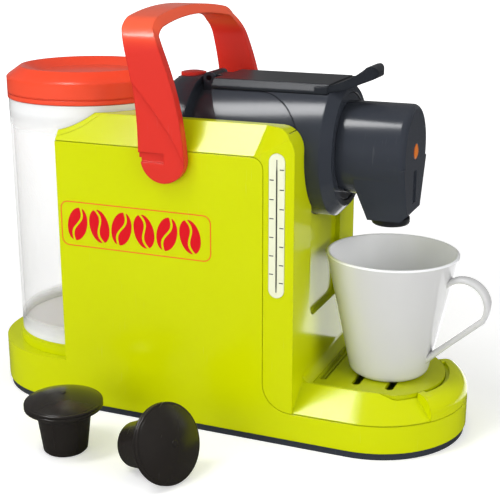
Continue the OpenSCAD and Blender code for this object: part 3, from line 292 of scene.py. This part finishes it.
# a finish names what differs from the usual one; edge is the radius that the shading rounds corners to,
# clear the veil face on and edge on, and frost the low and high end of a veil and its strength at each
usualFinish = dict(specular=0.5, edge=0.0006, scuffs=0.10, dust=0.02, metallic=0.0)
finishes = {
    "lime_plastic": dict(color=(0.64, 0.705, 0.0), rough=0.16, specular=0.36, edge=0.0007),
    # painted shade: the lime darkened for the grille and the cup under it, which lie in the mug's shadow
    "paintedShadeLime": dict(color=(0.51, 0.565, 0.0), rough=0.22, specular=0.30, edge=0.0007, dust=0.0),
    "black_plastic": dict(color=(0.038, 0.043, 0.055), rough=0.17, specular=0.33, edge=0.0008),
    "dark_plastic": dict(color=(0.013, 0.014, 0.017), rough=0.36, specular=0.45, edge=0.0005),
    # painted light: the handle's crown turns to a lighter red from the lower to the upper of its two heights,
    # for the light from above
    "red_plastic": dict(color=(0.72, 0.034, 0.022), rough=0.20, specular=0.40, edge=0.0012,
                        lightShift=(1.0, 0.13, 0.055), paintedLightSpan=(0.204, 0.216)),
    "white_plastic": dict(color=(0.67, 0.67, 0.67), rough=0.12, scuffs=0.05, dust=0.0),
    # painted light: a lighter copy of the mug's white for its inside and its lip
    "mugPaintedLight": dict(color=(0.95, 0.955, 0.965), rough=0.20, scuffs=0.05, dust=0.0),
    "gauge_plastic": dict(color=(0.86, 0.88, 0.65), rough=0.30, specular=0.4, edge=0.0003, scuffs=0.05,
                          dust=0.0),
    "lens_plastic": dict(color=(0.75, 0.20, 0.03), rough=0.10, edge=0.0003, scuffs=0.0, dust=0.0),
    "leverBlack": dict(color=(0.022, 0.025, 0.031), rough=0.30, specular=0.20, edge=0.0012),
    "capsule_plastic": dict(color=(0.018, 0.015, 0.013), rough=0.26),
    "seal_rubber": dict(color=(0.50, 0.52, 0.52), rough=0.60, specular=0.4, edge=0.0002, scuffs=0.0,
                        dust=0.04),
    "clear_tube": dict(color=(0.74, 0.78, 0.76), rough=0.30, edge=0.0, scuffs=0.0, dust=0.0),
    "board": dict(color=(0.02, 0.14, 0.05), rough=0.42, specular=0.4, edge=0.0, scuffs=0.0, dust=0.03),
    "steel": dict(color=(0.62, 0.63, 0.65), rough=0.30, edge=0.0002, scuffs=0.3, dust=0.0, metallic=1.0),
    "cell_metal": dict(color=(0.16, 0.17, 0.19), rough=0.35, edge=0.0002, scuffs=0.2, dust=0.0, metallic=0.6),
    "clear_plastic": dict(color=(0.93, 0.94, 0.94), rough=0.08, edge=0.0, scuffs=0.0, dust=0.0,
                          clear=(0.03, 0.32), frost=((0.0375, 0.047, 0.92, 0.0), (0.152, 0.166, 0.0, 0.97))),
    "tankFloor": dict(color=(0.97, 0.97, 0.98), rough=0.45, specular=0.3, edge=0.0),
    # painted light: the lid's top is painted a brighter red from the lower to the upper of its two heights
    "lidRed": dict(color=(0.91, 0.085, 0.036), rough=0.22, specular=0.36, edge=0.0012,
                   lightShift=(1.0, 0.072, 0.022), paintedLightSpan=(0.180, 0.188)),
    "darkSteel": dict(color=(0.03, 0.031, 0.034), rough=0.30, edge=0.0002, scuffs=0.2, dust=0.0,
                      metallic=1.0),
    "printRed": dict(color=(0.72, 0.0, 0.008), rough=0.30, specular=0.4, edge=0.0, scuffs=0.05, dust=0.0),
    "printOrange": dict(color=(0.85, 0.18, 0.01), rough=0.30, specular=0.4, edge=0.0, scuffs=0.05, dust=0.0),
    "printDark": dict(color=(0.03, 0.032, 0.034), rough=0.35, specular=0.4, edge=0.0, scuffs=0.05, dust=0.0),
}

# what every finish has alike; a scuff is scuffShare of the colour plus scuffLift
surface = {
    "ior": 1.46, "tone": 0.05, "gloss": 0.08, "grain": 0.04, "grainDepth": 0.0002, "edgeSamples": 4,
    "scuffShare": 0.6, "scuffLift": 0.3, "clearBlend": 0.30,
}

# nodes that don't take their slot's own finish; the grille and the cup under it take the darker lime, painted
# shade
nodeFinishes = {"tank_lid": "lidRed", "lever_pin": "darkSteel", "lever": "leverBlack",
                "drip_grille": "paintedShadeLime", "drip_cup": "paintedShadeLime"}


def makeFinish(name, spec):
    spec = {**usualFinish, **spec}
    material = bpy.data.materials.new(name)
    material.use_nodes = True
    tree = material.node_tree
    shader = tree.nodes["Principled BSDF"]
    base = (*spec["color"], 1)
    scuffColour = [surface["scuffShare"] * part + surface["scuffLift"] for part in spec["color"]] + [1]
    skin = addNode(tree, "ShaderNodeGroup", node_tree=skinGroup, sources={
        "Color": base, "Roughness": spec["rough"], "Tone Spread": surface["tone"],
        "Gloss Spread": surface["gloss"]})
    # painted light: where a finish has it, the colour turns lighter towards the top
    if "lightShift" in spec:
        low, high = spec["paintedLightSpan"]
        lightShift = addNode(tree, "ShaderNodeGroup", node_tree=topLightGroup, sources={
            "Color": base, "Top Light Color": (*spec["lightShift"], 1), "Low": low, "High": high})
        feed(tree, skin, {"Color": lightShift.outputs["Color"]})
    scuffs = addNode(tree, "ShaderNodeGroup", node_tree=scuffGroup, sources={
        "Color": skin.outputs["Color"], "Roughness": skin.outputs["Roughness"], "Scuff Color": scuffColour,
        "Amount": spec["scuffs"]})
    dust = addNode(tree, "ShaderNodeGroup", node_tree=dustGroup, sources={
        "Color": scuffs.outputs["Color"], "Amount": spec["dust"]})
    bump = addNode(tree, "ShaderNodeBump", {
        "Strength": surface["grain"], "Distance": surface["grainDepth"], "Height": skin.outputs["Height"]})
    if spec["edge"]:
        soften = addNode(tree, "ShaderNodeBevel", {"Radius": spec["edge"]}, samples=surface["edgeSamples"])
        feed(tree, bump, {"Normal": soften.outputs["Normal"]})
    feed(tree, shader, {
        "Base Color": dust.outputs["Color"], "Roughness": scuffs.outputs["Roughness"],
        "Normal": bump.outputs["Normal"], "Metallic": spec["metallic"], "IOR": surface["ior"],
        "Specular IOR Level": spec["specular"]})
    if "clear" in spec:
        # clear sheet: nearly nothing face on, milky where it turns away, frosted at the foot and at the rim
        facing = addNode(tree, "ShaderNodeLayerWeight", {"Blend": surface["clearBlend"]}).outputs["Facing"]
        faceOn, edgeOn = spec["clear"]
        veil = addRange(tree, facing, atLow=faceOn, atHigh=edgeOn)
        height = addUpward(tree, addPlace(tree))
        for span in spec["frost"]:
            veil = addMath(tree, "MAXIMUM", veil, addRange(tree, height, *span))
        feed(tree, shader, {"Alpha": veil})
    return material


materials = {name: makeFinish(name, spec) for name, spec in finishes.items()}


def dressNodes():
    for row in frame["record"]["subparts"]:
        target = frame["nodes"][row["node"]]
        for place in target.material_slots:
            place.material = materials[nodeFinishes.get(row["node"], row["material_slot"])]


# building helpers

def addPiece(name, body, slot, finish, verts, faces, smooth=0.0):
    mesh = bpy.data.meshes.new(name)
    mesh.from_pydata([tuple(v) for v in verts], [], faces)
    work = bmesh.new()
    work.from_mesh(mesh)
    bmesh.ops.recalc_face_normals(work, faces=work.faces)
    work.to_mesh(mesh)
    work.free()
    piece = bpy.data.objects.new(name, mesh)
    scene.collection.objects.link(piece)
    mesh.materials.append(materials[finish])
    if smooth:
        for face in mesh.polygons:
            face.use_smooth = True
        mesh.set_sharp_from_angle(angle=math.radians(smooth))
    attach(piece, body)
    return piece


def revolve(profile, count, centre):
    # closed profile of (radius, height) points round the upright axis
    verts, faces = [], []
    size = len(profile)
    for i in range(count):
        angle = 2 * math.pi * i / count
        for radius, height in profile:
            verts.append((centre[0] + radius * math.cos(angle), centre[1] + radius * math.sin(angle),
                          centre[2] + height))
        a, b = i * size, ((i + 1) % count) * size
        for j in range(size):
            k = (j + 1) % size
            faces.append((a + j, a + k, b + k, b + j))
    return verts, faces


def arc(centre, radius, start, stop, count):
    points = []
    for i in range(count + 1):
        angle = math.radians(start + (stop - start) * i / count)
        points.append((centre[0] + radius * math.cos(angle), centre[1] + radius * math.sin(angle)))
    return points


def rectangle(left, low, right, high):
    return [(left, low), (right, low), (right, high), (left, high)]


def roundRect(left, low, right, high, radius, count=8):
    a, b, c, d = left + radius, low + radius, right - radius, high - radius
    points = []
    for i, centre in enumerate(((c, d), (a, d), (a, b), (c, b))):
        points += arc(centre, radius, 90 * i, 90 * (i + 1), count)
    return points


def printShape(outlines, front, depth):
    # flat prints on a side panel: closed outlines of (x, z) points, pressed between two planes
    verts, faces = [], []
    for outline in outlines:
        base, count = len(verts), len(outline)
        verts += [(x, front, z) for x, z in outline] + [(x, front + depth, z) for x, z in outline]
        faces.append(tuple(range(base, base + count)))
        faces.append(tuple(range(base + 2 * count - 1, base + count - 1, -1)))
        for i in range(count):
            j = (i + 1) % count
            faces.append((base + i, base + count + i, base + count + j, base + j))
    return verts, faces


def printRing(outer, inner, front, depth):
    # band between two outlines with the same number of points
    count = len(outer)
    lines = ((outer, front), (inner, front), (inner, front + depth), (outer, front + depth))
    verts = [(x, y, z) for line, y in lines for x, z in line]
    faces = []
    for i in range(count):
        j = (i + 1) % count
        for row in range(len(lines)):
            a, b = row * count, ((row + 1) % len(lines)) * count
            faces.append((a + i, a + j, b + j, b + i))
    return verts, faces


# label on the side panel: a frame with a row of beans
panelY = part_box("left_housing")[0][1]
label = {
    "box": (-0.0752, 0.0968, 0.0142, 0.1218),  # left, low, right, high
    "corner": 0.0045, "line": 0.0006, "proud": 0.00012,
    "beans": 6, "firstBean": -0.0650, "beanPitch": 0.01345, "beanHalf": (0.0059, 0.0094), "tilt": 14,
    "cut": 0.0007, "bow": 0.28, "cutShare": 0.97,  # half the cut's width, its sway and its share of the bean
    "steps": 14,
}


def beanHalves(centre, tilt):
    # an upright bean as two halves on either side of a curved cut, then turned
    wide, tall = label["beanHalf"]
    cut, steps = label["cut"], label["steps"]
    cosine, sine = math.cos(math.radians(tilt)), math.sin(math.radians(tilt))
    halves = []
    for side in (-1, 1):
        outline = []
        for i in range(steps + 1):
            angle = math.pi * i / steps
            x = side * wide * math.sin(angle)
            if side * (x - side * cut) > 0:
                outline.append((x, tall * math.cos(angle)))
        for i in range(steps + 1):
            z = -tall + 2 * tall * i / steps
            sway = label["bow"] * wide * math.sin(math.pi * z / tall)
            outline.append((sway + side * cut, z * label["cutShare"]))
        halves.append([(centre[0] + x * cosine - z * sine, centre[1] + x * sine + z * cosine)
                       for x, z in outline])
    return halves


def makeLabel():
    left, low, right, high = label["box"]
    line, proud = label["line"], label["proud"]
    outer = roundRect(left, low, right, high, label["corner"])
    inner = roundRect(left + line, low + line, right - line, high - line, label["corner"] - line)
    ring = printRing(outer, inner, panelY - proud, 2 * proud)
    addPiece("label_frame", "machine", "red_plastic", "printOrange", *ring)
    beans = []
    for i in range(label["beans"]):
        centre = (label["firstBean"] + i * label["beanPitch"], (low + high) / 2)
        beans += beanHalves(centre, label["tilt"] * (1 if i % 2 else -1))
    prints = printShape(beans, panelY - proud, 2 * proud)
    addPiece("label_beans", "machine", "red_plastic", "printRed", *prints)


# marks on the water gauge: an upright line, and ticks at the heights of the two scales
gauge = {
    "line": 0.0005, "end": 0.003, "tick": (0.0022, 0.0005), "proud": 0.00006, "inset": 0.0004,
    "right": (0.1490, 0.1389, 0.1290, 0.1193, 0.1096, 0.0999, 0.0905),
    "left": (0.1436, 0.1337, 0.1239, 0.1142, 0.1045, 0.0948),
}


def makeGaugeMarks():
    low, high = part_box("water_gauge")
    middle = (low[0] + high[0]) / 2
    half, proud, end = gauge["line"] / 2, gauge["proud"], gauge["end"]
    marks = [rectangle(middle - half, low[2] + end, middle + half, high[2] - end)]
    long, thick = gauge["tick"]
    for side, heights in ((1, gauge["right"]), (-1, gauge["left"])):
        edge = high[0] - gauge["inset"] if side > 0 else low[0] + gauge["inset"]
        a, b = sorted((edge, edge - side * long))
        marks += [rectangle(a, z - thick / 2, b, z + thick / 2) for z in heights]
    prints = printShape(marks, low[1] - proud, 2 * proud)
    addPiece("gauge_marks", "machine", "black_plastic", "printDark", *prints)


# pale disc on the tank's floor, in from the tank's rim and up from its foot, and open over the valve
tankFloor = {"inset": 0.0020, "hole": 0.0105, "up": 0.0024, "thick": 0.0004, "turns": 96}


def makeTankFloor():
    tankLow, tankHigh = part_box("water_tank")
    middle = (tankLow[0] + tankHigh[0]) / 2
    radius = tankHigh[0] - middle - tankFloor["inset"]
    low = tankLow[2] + tankFloor["up"]
    profile = rectangle(tankFloor["hole"], low, radius, low + tankFloor["thick"])
    disc = revolve(profile, tankFloor["turns"], (middle, 0, 0))
    addPiece("tank_floor_disc", "tank", "white_plastic", "tankFloor", *disc)


mug = {
    "x": 0.097, "foot": 0.0208, "rim": 0.0351, "wall": 0.0017, "floor": 0.0024,  # foot and rim are radii
    "hollow": 0.0006, "footRing": (0.0062, 0.0054),  # the hollow's height, and its edge in from the foot
    "round": 0.005, "bendOut": -80, "bendIn": -88,  # bend into the foot, and the angles where it ends
    "axis": 0.0001,  # the outline stops this far from the axis
    "turns": 128, "bendSteps": 10, "lipSteps": 12, "smooth": 40,
    # the strap is an arc at the top, then runs straight down to low; it is wider over the rows at both ends
    "strap": dict(turn=-10, half=(0.0035, 0.0016), squareness=0.55, middle=(0.041, 0.0455), radius=0.0130,
                  start=172, stop=-32, low=(0.0215, 0.0105), flare=0.18, flareRows=6,
                  arcSteps=40, lowSteps=14, sides=20),
}


def mugProfile(height):
    # closed outline of the wall, and how many of its points lie outside, below the lip
    foot, rim, wall = mug["foot"], mug["rim"], mug["wall"]
    bend, steps = mug["round"], mug["bendSteps"]
    slope = (rim - foot) / height
    lean = math.degrees(math.atan(slope))
    far, near = mug["footRing"]
    profile = [(mug["axis"], mug["hollow"]), (foot - far, mug["hollow"]), (foot - near, 0.0)]
    profile += arc((foot - bend + slope * bend, bend), bend, mug["bendOut"], -lean, steps)
    shell = len(profile)
    lip = wall / 2
    profile += arc((rim - lip, height - lip), lip, -lean, 180 - lean, mug["lipSteps"])
    inner = foot - wall
    profile += arc((inner - bend + slope * bend, bend + mug["floor"]), bend, -lean, mug["bendIn"], steps)
    profile.append((mug["axis"], mug["floor"]))
    return profile, shell


def addStrap(verts, faces, base):
    # strap handle with an oval section, added to the mug's own points and faces
    strap = mug["strap"]
    path = arc(strap["middle"], strap["radius"], strap["start"], strap["stop"], strap["arcSteps"])
    last, low = Vector(path[-1]), Vector(strap["low"])
    path += [tuple(last.lerp(low, i / strap["lowSteps"])) for i in range(1, strap["lowSteps"] + 1)]
    turn = math.radians(strap["turn"])
    out = Vector((math.cos(turn), math.sin(turn), 0))
    across = Vector((-math.sin(turn), math.cos(turn), 0))
    wide, thick = strap["half"]
    sides, first = strap["sides"], len(verts)
    points = [Vector((mug["x"], 0, base)) + out * r + Vector((0, 0, z)) for r, z in path]
    final = len(points) - 1
    for i, point in enumerate(points):
        ahead = points[min(i + 1, final)] - points[max(i - 1, 0)]
        normal = ahead.normalized().cross(across)
        flare = 1 + strap["flare"] * max(0, 1 - min(i, final - i) / strap["flareRows"])
        for k in range(sides):
            angle = 2 * math.pi * k / sides
            bulge = abs(math.cos(angle)) ** strap["squareness"] * math.copysign(1, math.cos(angle))
            verts.append(point + across * wide * flare * bulge + normal * thick * flare * math.sin(angle))
    for i in range(final):
        a, b = first + i * sides, first + (i + 1) * sides
        for k in range(sides):
            m = (k + 1) % sides
            faces.append((a + k, a + m, b + m, b + k))
    end = first + final * sides
    faces += [tuple(range(first, first + sides)), tuple(range(end, end + sides))]


def makeMug():
    low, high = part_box("mug")
    base = low[2]
    profile, shell = mugProfile(high[2] - base)
    verts, faces = revolve(profile, mug["turns"], (mug["x"], 0, base))
    walls = len(faces)
    addStrap(verts, faces, base)
    piece = addPiece("mug_shell", "mug", "white_plastic", "white_plastic", verts, faces, smooth=mug["smooth"])
    # the inside and the lip take the lighter white, painted light
    piece.data.materials.append(materials["mugPaintedLight"])
    for face in piece.data.polygons[:walls]:
        if face.index % len(profile) >= shell:
            face.material_index = 1
    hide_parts("mug")


# carry handle with fuller shoulders than its node: crown and cut are the node's radii outside, roundOutside
# and roundInside the new shoulder radii, and hub a point in the opening, from the middle plane and the top
shoulders = {
    "thick": 0.005, "crown": 0.260, "cut": 0.014, "roundOutside": 0.018, "roundInside": 0.012,
    "hub": (0.036, 0.025), "step": 3, "farthest": 0.06, "halvings": 30,
    "weld": 1e-6, "slack": 1e-7, "smooth": 30,
}


def handleLine(half, top, inset, turn):
    # the handle seen from the front, or its opening with the thickness as inset
    return dict(half=half - inset, roof=top - inset, crown=shoulders["crown"] - inset,
                cut=shoulders["cut"] - inset, turn=turn)


def insideCut(line, u, z):
    # the node's shoulder: an arc trimmed by the crown
    half, roof, crown, cut = line["half"], line["roof"], line["crown"], line["cut"]
    if u > half - cut and z > roof - cut:
        if math.hypot(u - half + cut, z - roof + cut) > cut:
            return False
    return u <= half and math.hypot(u, z - roof + crown) <= crown


def insideRound(line, u, z):
    # the fuller shoulder: one arc tangent to the leg and to the crown
    half, crown, turn = line["half"], line["crown"], line["turn"]
    eye = line["roof"] - crown
    side = half - turn
    rise = math.sqrt((crown - turn) ** 2 - side ** 2)
    if z > eye + rise and u * rise > side * (z - eye):
        return math.hypot(u - side, z - eye - rise) <= turn
    return u <= half and math.hypot(u, z - eye) <= crown


def reach(test, line, hub, angle):
    # how far from the hub a line lies
    near, far = 0.0, shoulders["farthest"]
    for _ in range(shoulders["halvings"]):
        middle = (near + far) / 2
        if test(line, hub[0] + middle * math.cos(angle), hub[1] + middle * math.sin(angle)):
            near = middle
        else:
            far = middle
    return near


def cutShoulders(work, hub):
    # a fan of cuts over a quarter turn round each hub, so that the shoulders can bend
    for side in (-1, 1):
        for degrees in range(0, 91, shoulders["step"]):
            angle = math.radians(degrees)
            bmesh.ops.bisect_plane(work, geom=work.verts[:] + work.edges[:] + work.faces[:],
                                   dist=shoulders["slack"], plane_co=(0, side * hub[0], hub[1]),
                                   plane_no=(0, -side * math.sin(angle), math.cos(angle)))


def fillShoulders(work, lines, hub):
    # each point keeps its share of the way from the inside line to the outside line
    for vert in work.verts:
        across, up = abs(vert.co.y) - hub[0], vert.co.z - hub[1]
        if across <= 0 or up <= 0:
            continue
        angle = math.atan2(up, across)
        now, then = [[reach(test, line, hub, angle) for line in lines] for test in (insideCut, insideRound)]
        share = (math.hypot(across, up) - now[0]) / (now[1] - now[0])
        length = then[0] + share * (then[1] - then[0])
        vert.co.y = math.copysign(hub[0] + length * math.cos(angle), vert.co.y)
        vert.co.z = hub[1] + length * math.sin(angle)


def makeHandle():
    source = frame["nodes"]["carry_handle"]
    half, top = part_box("carry_handle")[1][1:]
    lines = [handleLine(half, top, shoulders["thick"], shoulders["roundInside"]),
             handleLine(half, top, 0.0, shoulders["roundOutside"])]
    hub = (shoulders["hub"][0], top - shoulders["hub"][1])
    work = bmesh.new()
    work.from_mesh(source.data)
    work.transform(source.matrix_world)
    bmesh.ops.remove_doubles(work, verts=work.verts, dist=shoulders["weld"])
    cutShoulders(work, hub)
    fillShoulders(work, lines, hub)
    work.verts.index_update()
    verts = [vert.co.copy() for vert in work.verts]
    faces = [tuple(vert.index for vert in face.verts) for face in work.faces]
    work.free()
    piece = addPiece("handle_shell", "handle", "red_plastic", "red_plastic", verts, faces,
                     smooth=shoulders["smooth"])
    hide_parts("carry_handle")


makeCamera()
makeLamps()
makeWorld()
makeFloor()
print("stage: set")
dressNodes()
print("stage: finishes")
makeLabel()
makeGaugeMarks()
makeTankFloor()
makeMug()
makeHandle()
print("stage: pieces")
